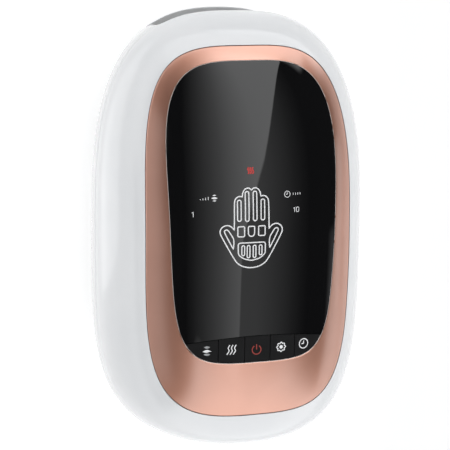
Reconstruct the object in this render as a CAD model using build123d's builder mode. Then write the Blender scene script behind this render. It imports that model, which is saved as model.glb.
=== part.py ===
from build123d import *
from functools import cache
from math import copysign, cos, dist, radians, sin
import os

# A hand massager that lies on a table. The hand goes in at the wrist mouth, at -Y, and its
# fingertips reach the finger mouth, at +Y. X is the width and Z is up. The origin is under
# the middle of the body, on the surface that the feet stand on. All lengths are millimetres.

# Body: a crowned pillow, blunt at the wrist end and falling to the finger end
body_half_width = 71.8
body_half_length = 112.3
crown_height = 54.4
belly_depth = 44.8
base_depth = 42.5
foot_proud = 2.0
wall = 2.6
parting = base_depth + foot_proud

# How square the outlines are: 2 is an ellipse, and a larger power is squarer
wrist_plan_power = 3.9
finger_plan_power = 2.84
wrist_crown_power = 8.0
finger_crown_power = 1.9
wrist_belly_power = 3.85
finger_belly_power = 6.0
crown_section_power = 2.3
wrist_belly_section_power = 2.9
finger_belly_section_power = 2.4

# Where the cross sections of the body stand, as angles from the middle to the ends
station_angles = [0, 6, 15, 28, 42, 55, 67, 78, 86]
arch_angles = [0, 8, 20, 35, 50, 70, 90, 110, 130, 145, 160, 172, 180]
arch_pull_share = 0.6
outline_angles = range(0, 360, 9)

# Hand tunnel, from the edge of one mouth to the other
wrist_mouth_half_width = 60.0
wrist_mouth_top = 18.0
wrist_mouth_bottom = -30.0
wrist_mouth_top_radius = 19.0
wrist_mouth_bottom_radius = 22.0
finger_mouth_half_width = 40.0
finger_mouth_top = 3.5
finger_mouth_bottom = -23.5
finger_mouth_top_radius = 6.0
finger_mouth_bottom_radius = 11.0

# Layers round the tunnel: how far each stands outside the edge of the mouths
rim_gap = 0.15
rim_wall = 1.7
rim_recess = 0.5
rim_depth = 27.0
liner_gap = 0.15
liner_thick = 1.2
liner_recess = 4.0
heater_thick = 0.4
bag_thick = 4.8
tray_thick = 2.0
layer_gap = 0.15
liner_outside = -(rim_gap + rim_wall + liner_gap)
heater_outside = liner_outside + layer_gap + heater_thick
bag_inside = heater_outside + layer_gap
tray_inside = bag_inside + bag_thick + layer_gap
tray_outside = tray_inside + tray_thick
tray_wrist_end = -74.0
tray_finger_end = 80.0
bag_margin = 4.0

# Trim and display, seen from above
trim_half_width = 55.1
trim_half_length = 93.9
trim_middle = 2.2
trim_wrist_power = 4.07
trim_finger_power = 3.6
display_half_width = 44.35
display_half_length = 76.0
display_middle = 12.75
display_wrist_power = 5.0
display_finger_power = 3.64
display_taper_share = 0.064
trim_thick = 2.2
trim_gap = 0.25
trim_bevel = 0.35
glass_thick = 2.2
glass_gap = 0.15
glass_drop = 0.1
glue_gap = 0.1
shelf_thick = 2.7
shelf_land = 3.0
seat_depth = trim_thick + glue_gap
shelf_depth = seat_depth + shelf_thick

# Keys, in a row under the glass
key_count = 5
key_names = ["massage_key", "heat_key", "power_key", "mode_key", "timer_key"]
key_pitch = 13.7
key_row_top = -48.9
key_row_fall = 4.3
key_row_half_width = 41.0
key_gap = 0.35
key_cap_thick = 1.8
key_drop = 0.2
key_travel = 0.8
key_pocket_gap = 0.5
key_stem = 5.0
key_stem_gap = 0.4
key_stem_setback = 7.6
key_pocket_depth = key_drop + key_cap_thick + key_travel + key_pocket_gap
key_stem_y = key_row_top - key_stem_setback

# Display board, its light guide and the rubber mat under the keys
board_level = 38.0
board_thick = 1.6
board_half_width = 33.0
board_wrist_end = -65.0
board_finger_end = 41.0
board_radius = 3.0
window_half_width = 34.0
window_wrist_end = -44.0
window_finger_end = 40.0
window_radius = 14.0
guide_gap = 0.4
guide_wall = 1.6
guide_top_depth = seat_depth + glue_gap
mat_thick = 0.8
mat_half_width = 32.0
mat_length = 13.0
dome_radius = 3.4
dome_top_radius = 2.2
dome_height = 2.2
dome_gap = 0.3
post_radius = 2.4
post_x = 31.0
post_wrist_y = -47.5
post_finger_y = 37.5
board_screw_radius = 0.9
board_screw_head_radius = 1.9
board_screw_head = 1.4
board_screw_depth = 4.0
board_hole_radius = 1.2

# Case screws and their bosses, against the side walls
boss_rows = [-44.0, 52.0]
boss_radius = 4.5
boss_overlap = 0.3
well_radius = 3.2
well_seat = 8.0
screw_head_radius = 2.8
screw_head = 2.2
screw_radius = 1.4
screw_reach = 10.0
pilot_gap = 0.05
clearance_radius = 1.7
pilot_spare = 2.0

# Joint between the shells
tongue_thick = 1.1
tongue_height = 2.0
tongue_gap = 0.15
tongue_ledge = 0.5
groove_width = 0.5
groove_depth = 0.4

# Saddle ribs that hold the trays
lower_rib_rows = [-64.0, -16.0, 70.0]
upper_rib_rows = [-72.0, 76.0]
rib_thick = 2.2
rib_gap = 0.1

# Feet
foot_x = 36.0
foot_y = 66.0
foot_radius = 7.5
foot_recess = 1.2
foot_gap = 0.15
foot_edge = 0.6
foot_pad_radius = 9.5
foot_pad_height = 4.6

# Charging socket, in the right-hand side of the lower shell
socket_y = 28.0
socket_drop = 14.0
socket_width = 13.0
socket_height = 6.6
socket_slot_width = 9.0
socket_slot_height = 3.3
socket_slot_depth = 6.5
socket_length = 9.0
socket_flange = 1.5
socket_flange_thick = 1.6
socket_recess = 0.4
socket_gap = 0.15
tongue_blade_width = 6.7
tongue_blade_height = 0.7
tongue_blade_length = 4.6

# Battery on the tunnel's roof
cell_radius = 9.1
cell_length = 65.0
cell_gap = 0.3
cell_terminal_radius = 2.8
cell_terminal = 1.0
battery_y = 21.5
holder_wall = 1.8
holder_floor = 1.6
holder_height = 11.0

# Pump on the tunnel's roof, past the battery
pump_y = 57.0
pump_head_length = 22.0
pump_head_width = 21.0
pump_head_height = 18.0
pump_head_x = -19.0
pump_edge = 1.5
pump_port_radius = 2.0
pump_port_bore = 1.0
pump_port_length = 5.0
motor_radius = 9.0
motor_length = 27.0
motor_boss_radius = 4.0
motor_boss_length = 2.0
cradle_height = 7.0
cradle_length = 20.0
cradle_wall = 2.5
cradle_floor = 1.2
cradle_gap = 0.15

# Valves and the air manifold, at the wrist end of the roof
manifold_y = -22.0
manifold_length = 30.0
manifold_width = 12.0
manifold_height = 10.0
valve_y = -40.0
valve_x = 13.0
valve_length = 19.0
valve_width = 12.0
valve_height = 11.0
valve_coil_radius = 4.6
valve_coil_length = 5.0

# Supply hose, pushed over the ports of the pump and the manifold
hose_radius = 3.3
hose_bore = 2.1
hose_bend = 12.0
hose_side_x = -47.0
hose_end_gap = 0.3

# Control board under the tunnel's floor
main_board_half_width = 36.0
main_board_wrist_end = -12.0
main_board_finger_end = 60.0
main_board_standoff = 3.0
standoff_radius = 3.0
standoff_inset = 5.0
chip_width = 10.0
chip_height = 1.4
chip_row = 18.0

# Flat cable from the display board to the control board, past the tunnel's right-hand side
cable_y = 8.0
cable_width = 12.0
cable_thick = 0.8
cable_lap = 6.0
cable_gap = 0.2
cable_bend = 6.0
cable_top_x = 41.0
cable_shoulder_x = 58.0
cable_shoulder = 18.0
cable_hip_x = 62.0
cable_hip = -16.0
cable_low_x = 43.0

overrun = 20.0


def end_share(share, power):
    """What is left of a size at this share of the way to the end of a rounded outline."""
    return max(0.0, 1 - abs(share) ** power) ** (1 / power)


def rounded_point(angle, half_width, half_height, power):
    """A point on a rounded outline, which is an ellipse where the power is 2."""
    across, along = cos(radians(angle)), sin(radians(angle))
    x = copysign(abs(across) ** (2 / power), across) * half_width
    y = copysign(abs(along) ** (2 / power), along) * half_height
    return x, y


def plan_half_width(y, inset=0):
    """Half the body's width at this place along its length."""
    power = finger_plan_power if y > 0 else wrist_plan_power
    return (body_half_width - inset) * end_share(y / (body_half_length - inset), power)


def arch_shares(width, rise, power):
    """How far along a cross section each of its points lies, from one side to the other."""
    points = [rounded_point(turn, width, rise, power) for turn in arch_angles]
    steps = [dist(near, far) for near, far in zip(points, points[1:])]
    return [sum(steps[:count]) / sum(steps) for count in range(len(points))]


def between_ends(y, wrist_value, finger_value):
    """A size at this place along the body, between its values at the two ends."""
    share = (y + body_half_length) / (2 * body_half_length)
    return wrist_value + (finger_value - wrist_value) * share


def half_body(inset, height, end_powers, section_powers, side):
    """The crown (side 1) or the belly (side -1) of the body, drawn in all round by the inset.

    The powers of its outline seen from the side and of its cross section are pairs, for the
    wrist end and the finger end.
    """
    angles = [-angle for angle in reversed(station_angles[1:])] + station_angles
    middle_power = between_ends(0, *section_powers)
    shares = arch_shares(body_half_width - inset, height - inset, middle_power)
    with BuildPart() as form:
        for angle in angles:
            plan_power = finger_plan_power if angle > 0 else wrist_plan_power
            end_power = end_powers[1] if angle > 0 else end_powers[0]
            width, y = rounded_point(angle, body_half_width - inset, body_half_length - inset, plan_power)
            rise = (height - inset) * end_share(y / (body_half_length - inset), end_power)
            section_power = between_ends(y, *section_powers)
            points = [rounded_point(turn, width, rise, section_power) for turn in arch_angles]
            points = [(x, side * max(z, 0)) for x, z in points]
            with BuildSketch(Plane((0, y, parting), x_dir=(1, 0, 0), z_dir=(0, -1, 0))):
                with BuildLine():
                    pull = side * arch_pull_share * (width + rise)
                    ends = [(0, pull), (0, -pull)]
                    add(Edge.make_spline(points, ends, parameters=shares, scale=False))
                    Line(points[-1], points[0])
                make_face()
        loft()
    return form.part


@cache
def crown(inset):
    """The upper half of the body."""
    end_powers = (wrist_crown_power, finger_crown_power)
    section_powers = (crown_section_power, crown_section_power)
    return half_body(inset, crown_height, end_powers, section_powers, 1)


@cache
def belly(inset):
    """The lower half of the body, before its base is cut flat."""
    end_powers = (wrist_belly_power, finger_belly_power)
    section_powers = (wrist_belly_section_power, finger_belly_section_power)
    return half_body(inset, belly_depth, end_powers, section_powers, -1)


@cache
def flat_belly(inset):
    """The lower half of the body with its flat base, which is drawn in with the rest."""
    with BuildPart() as form:
        add(belly(inset))
        with BuildSketch(Plane.XY.offset(foot_proud + inset)):
            Rectangle(4 * body_half_width, 4 * body_half_length)
        extrude(amount=-base_depth, mode=Mode.SUBTRACT)
    return form.part


@cache
def whole_body(inset):
    """Both halves of the body as one solid."""
    with BuildPart() as form:
        add(crown(inset))
        add(flat_belly(inset))
    return form.part


def tunnel_top(y):
    return between_ends(y, wrist_mouth_top, finger_mouth_top)


def tunnel_bottom(y):
    return between_ends(y, wrist_mouth_bottom, finger_mouth_bottom)


def tunnel_half_width(y):
    return between_ends(y, wrist_mouth_half_width, finger_mouth_half_width)


@cache
def tunnel(grow, start=-body_half_length - overrun, end=body_half_length + overrun):
    """The hand tunnel, grown outwards or drawn in, between two places along the length."""
    with BuildPart() as form:
        for y in (start, end):
            half_width = tunnel_half_width(y) + grow
            top, bottom = tunnel_top(y) + grow, tunnel_bottom(y) - grow
            top_radius = between_ends(y, wrist_mouth_top_radius, finger_mouth_top_radius)
            bottom_radius = between_ends(y, wrist_mouth_bottom_radius, finger_mouth_bottom_radius)
            least_radius = layer_gap
            with BuildSketch(Plane((0, y, parting), x_dir=(1, 0, 0), z_dir=(0, -1, 0))) as section:
                with BuildLine():
                    Polyline(
                        (-half_width, bottom),
                        (half_width, bottom),
                        (half_width, top),
                        (-half_width, top),
                        close=True,
                    )
                make_face()
                corners = section.vertices().group_by(Axis.Y)
                fillet(corners[0], radius=max(bottom_radius + grow, least_radius))
                corners = section.vertices().group_by(Axis.Y)
                fillet(corners[-1], radius=max(top_radius + grow, least_radius))
        loft(ruled=True)
    return form.part


def tunnel_middle():
    """The sloping plane that parts the upper pieces of the tunnel from the lower ones."""
    wrist = (wrist_mouth_top + wrist_mouth_bottom) / 2
    finger = (finger_mouth_top + finger_mouth_bottom) / 2
    slope = (finger - wrist) / (2 * body_half_length)
    middle = parting + (wrist + finger) / 2
    return Plane((0, 0, middle), x_dir=(1, 0, 0), z_dir=(0, -slope, 1))


def roof_plane(y):
    """The top face of the tunnel's roof at this place along its length."""
    slope = (finger_mouth_top - wrist_mouth_top) / (2 * body_half_length)
    height = parting + tunnel_top(y) + tray_outside
    return Plane((0, y, height), x_dir=(1, 0, 0), z_dir=(0, -slope, 1))


def tunnel_layer(inside, outside, start, end, keep, half_width_margin=None, inset=None):
    """A layer of the tunnel's wall above or below its middle, whole or only a flat pad of it."""
    with BuildPart() as layer:
        add(tunnel(outside, start, end))
        add(tunnel(inside), mode=Mode.SUBTRACT)
        if inset is not None:
            add(whole_body(inset), mode=Mode.INTERSECT)
        split(bisect_by=tunnel_middle(), keep=keep)
        if half_width_margin is not None:
            with BuildSketch(Plane.XY):
                with BuildLine():
                    near = tunnel_half_width(start) - half_width_margin
                    far = tunnel_half_width(end) - half_width_margin
                    Polyline((-near, start), (near, start), (far, end), (-far, end), close=True)
                make_face()
                fillet(vertices(), radius=half_width_margin / 3)
            extrude(amount=parting + crown_height, mode=Mode.INTERSECT)
    return layer.part


def collar(start, end):
    """The ring that lines a mouth of the tunnel, its face just behind the body's surface."""
    with BuildPart() as ring:
        add(tunnel(-rim_gap, start, end))
        add(tunnel(-rim_gap - rim_wall), mode=Mode.SUBTRACT)
        add(whole_body(rim_recess), mode=Mode.INTERSECT)
    return ring.part


def outline_face(half_width, half_length, middle, wrist_power, finger_power, grow=0, taper_share=0):
    """The face inside a rounded outline seen from above, wider to the finger end by its taper."""
    points = []
    for angle in outline_angles:
        power = finger_power if angle < 180 else wrist_power
        x, y = rounded_point(angle, half_width + grow, half_length + grow, power)
        points.append((x * (1 + taper_share * y / half_length), y + middle))
    with BuildSketch() as outline:
        with BuildLine():
            Spline(*points, periodic=True)
        make_face()
    return outline.sketch


def plan_face(inset):
    """The body's outline at the parting line, drawn in all round by the inset."""
    return crown(inset).faces().sort_by(Axis.Z)[0]


def trim_face(grow=0):
    return outline_face(
        trim_half_width, trim_half_length, trim_middle, trim_wrist_power, trim_finger_power, grow
    )


def display_face(grow=0):
    return outline_face(
        display_half_width,
        display_half_length,
        display_middle,
        display_wrist_power,
        display_finger_power,
        grow,
        display_taper_share,
    )


def key_field_face(grow=0):
    """The part of the display below the bowed line over the keys."""
    reach = 2 * display_half_width
    row_end = key_row_top - key_row_fall
    with BuildSketch() as field:
        with BuildLine():
            bow = ThreePointArc(
                (-key_row_half_width, row_end + grow),
                (0, key_row_top + grow),
                (key_row_half_width, row_end + grow),
            )
            Polyline(
                bow @ 1,
                (reach, row_end + grow),
                (reach, row_end - reach),
                (-reach, row_end - reach),
                (-reach, row_end + grow),
                bow @ 0,
            )
        make_face()
    return field.sketch


def crown_slab(outer_inset, inner_inset, face):
    """The layer of the crown between two depths, inside a face seen from above."""
    with BuildPart() as slab:
        with BuildSketch(Plane.XY.offset(parting)):
            add(face)
        extrude(amount=crown_height + overrun)
        add(crown(outer_inset), mode=Mode.INTERSECT)
        add(crown(inner_inset), mode=Mode.SUBTRACT)
    return slab.part


def above_crown(inset, face):
    """All that is above a depth in the crown, inside a face seen from above."""
    with BuildPart() as cutter:
        with BuildSketch(Plane.XY.offset(parting)):
            add(face)
        extrude(amount=crown_height + overrun)
        add(crown(inset), mode=Mode.SUBTRACT)
    return cutter.part


def boss_places():
    """Where the case screws stand, against the side walls."""
    places = []
    for y in boss_rows:
        x = plan_half_width(y) - wall - boss_radius + boss_overlap
        places += [(x, y), (-x, y)]
    return places


def post_places():
    """Where the display board is screwed to the shelf of the upper shell."""
    return [(side * post_x, y) for side in (-1, 1) for y in (post_wrist_y, post_finger_y)]


def foot_places():
    return [(x * foot_x, y * foot_y) for x in (-1, 1) for y in (-1, 1)]


def saddle_ribs(rows):
    """Cross plates as wide as the body, cut to sit round the tunnel's trays."""
    with BuildPart() as ribs:
        with BuildSketch(Plane.XY):
            with Locations([(0, y) for y in rows]):
                Rectangle(4 * body_half_width, rib_thick)
        extrude(amount=parting + crown_height + overrun)
        add(tunnel(tray_outside + rib_gap), mode=Mode.SUBTRACT)
    return ribs.part


def write(builder, name):
    """Labels a finished piece and writes it."""
    builder.part.label = name
    export_step(builder.part, f"parts/{name}.step")


def make_lower_shell():
    with BuildPart() as hollow:
        add(flat_belly(wall))
        extrude(plan_face(wall + tongue_ledge), amount=tongue_height + overrun, dir=(0, 0, 1))
        with BuildSketch(Plane.XY.offset(parting + tongue_height)):
            with Locations(boss_places()):
                Circle(boss_radius)
        extrude(amount=-belly_depth, mode=Mode.SUBTRACT)
        add(saddle_ribs(lower_rib_rows), mode=Mode.SUBTRACT)
        with BuildSketch(Plane.XY.offset(foot_proud)):
            with Locations(foot_places()):
                Circle(foot_pad_radius)
        extrude(amount=foot_pad_height, mode=Mode.SUBTRACT)
        with BuildSketch(Plane.XY.offset(foot_proud)):
            with Locations(standoff_places()):
                Circle(standoff_radius)
        extrude(amount=wall + main_board_standoff, mode=Mode.SUBTRACT)
    with BuildPart() as lower_shell:
        add(flat_belly(0))
        split(bisect_by=Plane.XY.offset(parting - groove_width / 2), keep=Keep.BOTTOM)
        extrude(plan_face(groove_depth), amount=groove_width / 2, dir=(0, 0, -1))
        extrude(plan_face(wall - tongue_thick), amount=tongue_height, dir=(0, 0, 1))
        with BuildSketch(Plane.XY.offset(foot_proud)):
            with Locations(foot_places()):
                Circle(foot_pad_radius)
        extrude(amount=foot_pad_height)
        add(hollow.part, mode=Mode.SUBTRACT)
        with BuildSketch(Plane.XY):
            with Locations(boss_places()):
                Circle(well_radius)
        extrude(amount=parting - well_seat, mode=Mode.SUBTRACT)
        with BuildSketch(Plane.XY):
            with Locations(boss_places()):
                Circle(clearance_radius)
        extrude(amount=parting + tongue_height, mode=Mode.SUBTRACT)
        with BuildSketch(Plane.XY):
            with Locations(foot_places()):
                Circle(foot_radius + foot_gap)
        extrude(amount=foot_proud + foot_recess, mode=Mode.SUBTRACT)
        with BuildSketch(Plane.YZ.offset(body_half_width + wall)):
            with Locations((socket_y, parting - socket_drop)):
                SlotOverall(socket_width + 2 * socket_gap, socket_height + 2 * socket_gap)
        extrude(amount=-socket_length - 2 * wall, mode=Mode.SUBTRACT)
        add(tunnel(0), mode=Mode.SUBTRACT)
    write(lower_shell, "lower_shell")


def make_upper_shell():
    with BuildPart() as hollow:
        add(crown(wall))
        with BuildSketch(Plane.XY.offset(parting)):
            with Locations(boss_places()):
                Circle(boss_radius)
        extrude(amount=crown_height, mode=Mode.SUBTRACT)
        add(above_crown(shelf_depth, trim_face(shelf_land)), mode=Mode.SUBTRACT)
        with BuildSketch(Plane.XY.offset(parting + board_level + board_thick)):
            with Locations(post_places()):
                Circle(post_radius)
        extrude(amount=crown_height, mode=Mode.SUBTRACT)
        add(saddle_ribs(upper_rib_rows), mode=Mode.SUBTRACT)
        face = plan_face(wall - tongue_thick - tongue_gap)
        extrude(face, amount=tongue_height + tongue_gap, dir=(0, 0, 1))
    with BuildPart() as upper_shell:
        add(crown(0))
        split(bisect_by=Plane.XY.offset(parting + groove_width / 2), keep=Keep.TOP)
        extrude(plan_face(groove_depth), amount=groove_width / 2, dir=(0, 0, 1))
        add(hollow.part, mode=Mode.SUBTRACT)
        add(above_crown(seat_depth, trim_face()), mode=Mode.SUBTRACT)
        add(above_crown(key_pocket_depth, key_pocket_face()), mode=Mode.SUBTRACT)
        with BuildSketch(Plane.XY.offset(parting)):
            add(window_face())
            with Locations(key_places()):
                Rectangle(key_stem + 2 * key_stem_gap, key_stem + 2 * key_stem_gap)
        extrude(amount=crown_height + overrun, mode=Mode.SUBTRACT)
        with BuildSketch(Plane.XY.offset(parting)):
            with Locations(boss_places()):
                Circle(screw_radius + pilot_gap)
        extrude(amount=screw_reach + pilot_spare, mode=Mode.SUBTRACT)
        with BuildSketch(Plane.XY.offset(parting + board_level)):
            with Locations(post_places()):
                Circle(board_screw_radius + pilot_gap)
        extrude(amount=board_thick + board_screw_depth, mode=Mode.SUBTRACT)
        add(tunnel(0), mode=Mode.SUBTRACT)
    write(upper_shell, "upper_shell")


def window_face(grow=0):
    """The opening in the shelf under the glass."""
    with BuildSketch() as window:
        with Locations((0, (window_wrist_end + window_finger_end) / 2)):
            RectangleRounded(
                2 * (window_half_width + grow),
                window_finger_end - window_wrist_end + 2 * grow,
                window_radius + grow,
            )
    return window.sketch


def key_pocket_face():
    with BuildSketch() as pocket:
        add(display_face())
        add(key_field_face(), mode=Mode.INTERSECT)
    return pocket.sketch


def key_places():
    middle = (key_count - 1) / 2
    return [((i - middle) * key_pitch, key_stem_y) for i in range(key_count)]


def glass_face():
    with BuildSketch() as glass:
        add(display_face(-glass_gap))
        add(key_field_face(), mode=Mode.SUBTRACT)
    return glass.sketch


def trim_ring_face():
    with BuildSketch() as ring:
        add(trim_face(-trim_gap))
        add(display_face(), mode=Mode.SUBTRACT)
    return ring.sketch


def make_trim():
    with BuildPart() as trim_bezel:
        add(crown_slab(0, trim_thick, trim_ring_face()))
        top = trim_bezel.faces().sort_by(Axis.Z)[-1]
        chamfer(top.edges(), length=trim_bevel)
    write(trim_bezel, "trim_bezel")


def make_glass():
    with BuildPart() as display_glass:
        add(crown_slab(glass_drop, glass_drop + glass_thick, glass_face()))
    write(display_glass, "display_glass")


def key_face(index):
    """One key seen from above: a strip of the key field, with the display's round end."""
    middle = (key_count - 1) / 2
    left = (index - middle) * key_pitch - key_pitch / 2 + key_gap / 2
    right = left + key_pitch - key_gap
    if index == 0:
        left = -2 * display_half_width
    if index == key_count - 1:
        right = 2 * display_half_width
    with BuildSketch() as key:
        add(display_face(-key_gap))
        add(key_field_face(-key_gap), mode=Mode.INTERSECT)
        with Locations(((left + right) / 2, key_stem_y)):
            Rectangle(right - left, display_half_length, mode=Mode.INTERSECT)
    return key.sketch


def make_keys():
    stem_bottom = board_level + board_thick + mat_thick + dome_height + dome_gap + key_travel
    for index, name in enumerate(key_names):
        with BuildPart() as stem:
            with BuildSketch(Plane.XY.offset(parting + stem_bottom)):
                with Locations(key_places()[index]):
                    Rectangle(key_stem, key_stem)
            extrude(amount=crown_height)
            add(crown(key_drop + key_cap_thick / 2), mode=Mode.INTERSECT)
        with BuildPart() as key:
            add(crown_slab(key_drop, key_drop + key_cap_thick, key_face(index)))
            add(stem.part)
        write(key, name)


def make_key_mat():
    with BuildPart() as key_mat:
        with BuildSketch(Plane.XY.offset(parting + board_level + board_thick)):
            with Locations((0, key_stem_y)):
                RectangleRounded(2 * mat_half_width, mat_length, board_radius)
        extrude(amount=mat_thick)
        for x, y in key_places():
            for height, radius in ((0, dome_radius), (dome_height, dome_top_radius)):
                level = parting + board_level + board_thick + mat_thick + height
                with BuildSketch(Plane((x, y, level))):
                    Circle(radius)
            loft()
    write(key_mat, "key_mat")


def make_display_board():
    with BuildPart() as display_board:
        middle = (board_wrist_end + board_finger_end) / 2
        with BuildSketch(Plane.XY.offset(parting + board_level)):
            with Locations((0, middle)):
                RectangleRounded(2 * board_half_width, board_finger_end - board_wrist_end, board_radius)
            with Locations(post_places()):
                Circle(board_hole_radius, mode=Mode.SUBTRACT)
        extrude(amount=board_thick)
        with BuildSketch(Plane.XY.offset(parting + board_level)):
            with Locations((0, board_wrist_end + mat_length)):
                Rectangle(chip_row, mat_thick + dome_radius)
        extrude(amount=-chip_height)
    write(display_board, "display_board")


def make_light_guide():
    """The white spacer that leads the lamps' light to the marks under the glass."""
    with BuildPart() as light_guide:
        with BuildSketch(Plane.XY.offset(parting + board_level + board_thick)):
            add(window_face(-guide_gap))
        extrude(amount=crown_height)
        add(crown(guide_top_depth), mode=Mode.INTERSECT)
        length = window_finger_end - window_wrist_end - 2 * window_radius
        width = (2 * window_half_width - 4 * guide_wall) / 3
        middle = (window_wrist_end + window_finger_end) / 2
        with BuildSketch(Plane.XY.offset(parting + board_level + board_thick)):
            with Locations([(i * (width + guide_wall), middle) for i in (-1, 0, 1)]):
                RectangleRounded(width - guide_wall, length, guide_wall)
        extrude(amount=crown_height, mode=Mode.SUBTRACT)
    write(light_guide, "light_guide")


def make_board_screws():
    with BuildPart() as board_screws:
        with BuildSketch(Plane.XY.offset(parting + board_level)):
            with Locations(post_places()):
                Circle(board_screw_head_radius)
        extrude(amount=-board_screw_head)
        with BuildSketch(Plane.XY.offset(parting + board_level)):
            with Locations(post_places()):
                Circle(board_screw_radius)
        extrude(amount=board_thick + board_screw_depth - pilot_gap)
    write(board_screws, "board_screws")


def make_case_screws():
    with BuildPart() as case_screws:
        with BuildSketch(Plane.XY.offset(parting - well_seat)):
            with Locations(boss_places()):
                Circle(screw_head_radius)
        extrude(amount=-screw_head)
        with BuildSketch(Plane.XY.offset(parting - well_seat)):
            with Locations(boss_places()):
                Circle(screw_radius)
        extrude(amount=well_seat + screw_reach)
    write(case_screws, "case_screws")


def make_feet():
    with BuildPart() as rubber_feet:
        with BuildSketch(Plane.XY):
            with Locations(foot_places()):
                Circle(foot_radius)
        extrude(amount=foot_proud + foot_recess)
        fillet(rubber_feet.edges().group_by(Axis.Z)[0], radius=foot_edge)
    write(rubber_feet, "rubber_feet")


def make_tunnel_pieces():
    with BuildPart() as wrist_rim:
        add(collar(-body_half_length - overrun, -body_half_length + rim_depth))
    write(wrist_rim, "wrist_rim")
    with BuildPart() as finger_rim:
        add(collar(body_half_length - rim_depth, body_half_length + overrun))
    write(finger_rim, "finger_rim")
    liner = (liner_outside - liner_thick, liner_outside)
    whole = (-body_half_length, body_half_length)
    tray = (tray_inside, tray_outside, tray_wrist_end, tray_finger_end)
    for name, keep in (("upper_liner", Keep.TOP), ("lower_liner", Keep.BOTTOM)):
        with BuildPart() as piece:
            add(tunnel_layer(*liner, *whole, keep, inset=liner_recess))
        write(piece, name)
    for name, keep in (("tunnel_roof", Keep.TOP), ("tunnel_floor", Keep.BOTTOM)):
        with BuildPart() as piece:
            add(tunnel_layer(*tray, keep))
        write(piece, name)
    with BuildPart() as heating_pad:
        start, end = tray_wrist_end + 3 * bag_margin, tray_finger_end - 3 * bag_margin
        pad = (heater_outside - heater_thick, heater_outside, start, end)
        add(tunnel_layer(*pad, Keep.BOTTOM, wrist_mouth_bottom_radius))
    write(heating_pad, "heating_pad")
    middle = (tray_wrist_end + tray_finger_end) / 2
    spans = {
        "palm": (tray_wrist_end + bag_margin, middle - bag_margin / 2),
        "finger": (middle + bag_margin / 2, tray_finger_end - bag_margin),
    }
    for level, keep in (("upper", Keep.TOP), ("lower", Keep.BOTTOM)):
        for place, (start, end) in spans.items():
            with BuildPart() as piece:
                bag = (bag_inside, bag_inside + bag_thick, start, end)
                add(tunnel_layer(*bag, keep, wrist_mouth_top_radius))
            write(piece, f"{level}_{place}_airbag")


def make_battery():
    centre = holder_floor + cell_radius + cell_gap
    pitch = 2 * (cell_radius + cell_gap)
    with BuildPart(roof_plane(battery_y)) as battery_cells:
        with Locations([(0, side * pitch / 2, centre) for side in (-1, 1)]):
            Cylinder(cell_radius, cell_length, rotation=(0, 90, 0))
        with Locations([(cell_length / 2 + cell_terminal / 2, side * pitch / 2, centre) for side in (-1, 1)]):
            Cylinder(cell_terminal_radius, cell_terminal, rotation=(0, 90, 0))
    write(battery_cells, "battery_cells")
    length = cell_length + 2 * (cell_terminal + cell_gap + holder_wall)
    width = 2 * pitch + 2 * holder_wall
    with BuildPart(roof_plane(battery_y)) as battery_holder:
        with Locations((0, 0, holder_height / 2)):
            Box(length, width, holder_height)
        with Locations((0, 0, holder_floor + holder_height / 2)):
            Box(
                length - 2 * holder_wall,
                width - 2 * holder_wall,
                holder_height,
                mode=Mode.SUBTRACT,
            )
    write(battery_holder, "battery_holder")


def pump_centre():
    """How high the pump's axis lies above the tunnel's roof."""
    return cradle_floor + cradle_gap + pump_head_height / 2


def make_pump():
    motor_centre = pump_centre()
    head_end = pump_head_x + pump_head_length / 2
    motor_x = head_end + motor_length / 2
    with BuildPart(roof_plane(pump_y)) as pump_head:
        with Locations((pump_head_x, 0, motor_centre)):
            Box(pump_head_length, pump_head_width, pump_head_height)
        fillet(pump_head.edges().filter_by(Axis.X), radius=pump_edge)
        port_x = pump_head_x - pump_head_length / 2 - pump_port_length / 2
        with Locations((port_x, 0, motor_centre)):
            Cylinder(pump_port_radius, pump_port_length, rotation=(0, 90, 0))
            Cylinder(pump_port_bore, pump_port_length, rotation=(0, 90, 0), mode=Mode.SUBTRACT)
    write(pump_head, "pump_head")
    with BuildPart(roof_plane(pump_y)) as pump_motor:
        with Locations((motor_x, 0, motor_centre)):
            Cylinder(motor_radius, motor_length, rotation=(0, 90, 0))
        with Locations((motor_x + (motor_length + motor_boss_length) / 2, 0, motor_centre)):
            Cylinder(motor_boss_radius, motor_boss_length, rotation=(0, 90, 0))
    write(pump_motor, "pump_motor")
    with BuildPart(roof_plane(pump_y)) as pump_cradle:
        with Locations((motor_x, 0, cradle_height / 2)):
            Box(cradle_length, 2 * (motor_radius + cradle_wall), cradle_height)
        with Locations((motor_x, 0, motor_centre)):
            Cylinder(
                motor_radius + cradle_gap, 2 * cradle_length, rotation=(0, 90, 0), mode=Mode.SUBTRACT
            )
    write(pump_cradle, "pump_cradle")


def make_air_parts():
    with BuildPart(roof_plane(manifold_y)) as air_manifold:
        with BuildSketch(roof_plane(manifold_y)):
            RectangleRounded(manifold_length, manifold_width, pump_edge)
        extrude(amount=manifold_height)
        port_x = -manifold_length / 2 - pump_port_length / 2
        with Locations((port_x, 0, manifold_height / 2)):
            Cylinder(pump_port_radius, pump_port_length, rotation=(0, 90, 0))
    write(air_manifold, "air_manifold")
    with BuildPart(roof_plane(valve_y)) as release_valves:
        with Locations([(side * valve_x, 0, valve_height / 2) for side in (-1, 1)]):
            Box(valve_length, valve_width, valve_height)
        fillet(release_valves.edges().filter_by(Axis.X), radius=pump_edge)
        coil_x = valve_x + (valve_length + valve_coil_length) / 2
        with Locations([(side * coil_x, 0, valve_height / 2) for side in (-1, 1)]):
            Cylinder(valve_coil_radius, valve_coil_length, rotation=(0, 90, 0))
    write(release_valves, "release_valves")


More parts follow.
